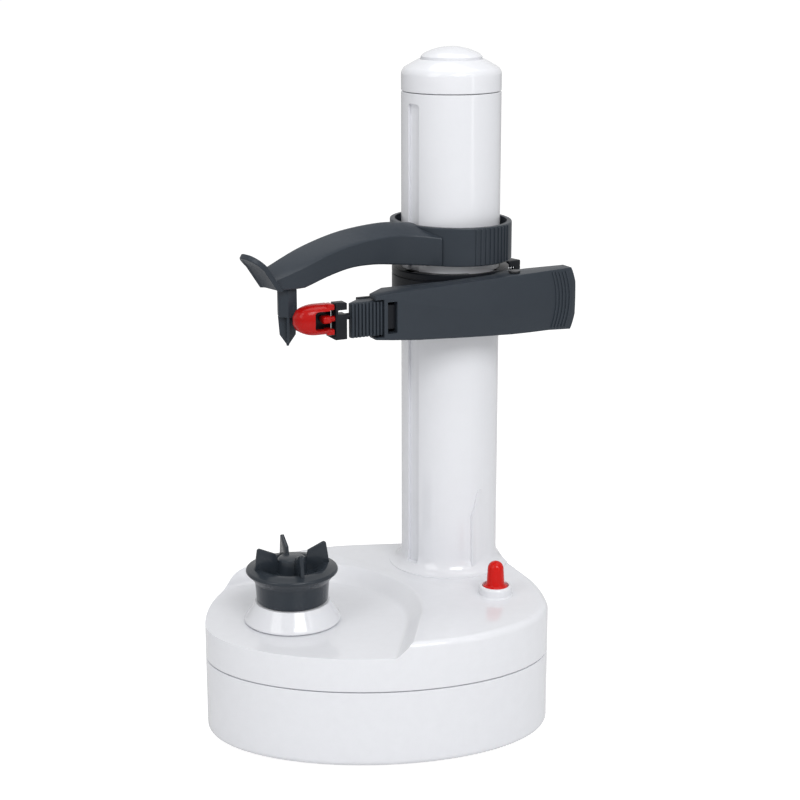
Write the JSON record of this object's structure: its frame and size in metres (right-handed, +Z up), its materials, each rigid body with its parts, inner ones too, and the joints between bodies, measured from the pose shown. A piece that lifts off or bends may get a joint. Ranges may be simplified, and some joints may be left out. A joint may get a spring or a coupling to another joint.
{
  "type": "electric potato peeler",
  "caption": "Battery-powered potato peeler: a motor base turns a food holder and a lead screw, which lowers a sprung blade arm down a column under a sliding upper arm.",
  "frame": {"origin": "on the column's axis at the height of the surface that the object stands on", "axes": "+X to the right, -Y to the front, +Z up along the column"},
  "size_m": [0.1646, 0.1353, 0.2952],
  "materials": {
    "white_plastic": "glossy white moulding",
    "slate_plastic": "satin slate-grey moulding",
    "black_plastic": "satin black moulding",
    "red_plastic": "glossy red moulding",
    "gear_plastic": "natural acetal",
    "rubber": "matt rubber",
    "steel": "bright steel",
    "brass": "plain brass",
    "cell_wrap": "printed-free dark cell wrap"
  },
  "bodies": {
    "frame": {"base_pan": "white_plastic", "base_top": "white_plastic", "rubber_feet": "rubber", "base_screws": "steel", "battery_door": "white_plastic", "door_screw": "steel", "battery_cells": "cell_wrap", "battery_springs": "steel", "contact_plates": "steel", "gearbox_plate": "gear_plastic", "plate_screws": "steel", "motor": "steel", "gear_axles": "steel", "spindle_bush": "brass", "screw_lower_bush": "brass", "screw_upper_bush": "brass", "column_tube": "white_plastic", "column_screws": "steel", "column_cap": "white_plastic", "cap_crown": "white_plastic", "start_switch": "black_plastic", "button_spring": "steel"},
    "spindle": {"spindle_shaft": "steel", "spindle_gear": "gear_plastic", "spindle_skirt": "white_plastic", "food_holder": "slate_plastic"},
    "idler": {"idler_gear": "gear_plastic"},
    "cluster": {"cluster_gear": "gear_plastic"},
    "motor_rotor": {"motor_shaft": "steel", "motor_pinion": "brass"},
    "lead_screw": {"screw_gear": "gear_plastic", "lead_screw": "steel"},
    "carriage": {"carriage": "black_plastic", "arm_pivot_pin": "steel", "arm_spring": "steel"},
    "nut": {"drive_nut": "brass", "release_tab": "black_plastic", "release_springs": "steel"},
    "peel_arm": {"peel_arm": "slate_plastic", "blade_holder": "black_plastic"},
    "cartridge": {"blade_cartridge": "red_plastic", "peeler_blade": "steel"},
    "upper_arm": {"upper_arm": "slate_plastic", "collar_pads": "rubber", "holder_washer": "steel"},
    "top_holder": {"top_holder": "slate_plastic"},
    "button": {"start_button": "red_plastic"}
  },
  "joints": [
    {"name": "spindle_spin", "type": "hinge", "parent": "frame", "child": "spindle", "pos_m": [-0.07, -0.06, 0], "axis": [0, 0, 1], "range_deg": [0, 3600]},
    {"name": "carriage_slide", "type": "slide", "parent": "frame", "child": "carriage", "axis": [0, 0, 1], "range_m": [-0.09, 0]},
    {"name": "screw_spin", "type": "hinge", "parent": "frame", "child": "lead_screw", "pos_m": [0, 0, 0], "axis": [0, 0, 1], "range_deg": [0, 5400]},
    {"name": "idler_spin", "type": "hinge", "parent": "frame", "child": "idler", "pos_m": [-0.03725, -0.01953, 0], "axis": [0, 0, 1], "range_deg": [-4910, 0]},
    {"name": "cluster_spin", "type": "hinge", "parent": "frame", "child": "cluster", "pos_m": [-0.0342, -0.06959, 0], "axis": [0, 0, 1], "range_deg": [-15430, 0]},
    {"name": "motor_spin", "type": "hinge", "parent": "frame", "child": "motor_rotor", "pos_m": [-0.01322, -0.07143, 0], "axis": [0, 0, 1], "range_deg": [0, 61716]},
    {"name": "nut_release", "type": "slide", "parent": "carriage", "child": "nut", "axis": [-0.7593, -0.6508, 0], "range_m": [0, 0.0025], "stiffness_N_per_m": 400, "springref_m": -0.002},
    {"name": "peel_arm_swing", "type": "hinge", "parent": "carriage", "child": "peel_arm", "pos_m": [0.02786, -0.02099, 0.1854], "axis": [0, 0, 1], "range_deg": [0, 22], "stiffness_Nm_per_rad": 0.05, "springref_deg": -17.19},
    {"name": "cartridge_swivel", "type": "hinge", "parent": "peel_arm", "child": "cartridge", "pos_m": [-0.05601, -0.0658, 0.1868], "axis": [-0.9011, -0.4337, 0], "range_deg": [-12, 12]},
    {"name": "upper_arm_slide", "type": "slide", "parent": "frame", "child": "upper_arm", "axis": [0, 0, 1], "range_m": [0, 0.052]},
    {"name": "top_holder_spin", "type": "hinge", "parent": "upper_arm", "child": "top_holder", "pos_m": [-0.07, -0.06, 0], "axis": [0, 0, 1], "continuous": true},
    {"name": "button_press", "type": "slide", "parent": "frame", "child": "button", "axis": [0, 0, 1], "range_m": [-0.0025, 0], "stiffness_N_per_m": 600, "springref_m": 0.001, "deforming": ["button_spring"]}
  ],
  "couplings": [
    {"joint": "spindle_spin", "follows": "carriage_slide", "rad_per_m": -698.13},
    {"joint": "screw_spin", "follows": "carriage_slide", "rad_per_m": -1047.2},
    {"joint": "idler_spin", "follows": "carriage_slide", "rad_per_m": 952},
    {"joint": "cluster_spin", "follows": "carriage_slide", "rad_per_m": 2992},
    {"joint": "motor_spin", "follows": "carriage_slide", "rad_per_m": -11968}
  ]
}
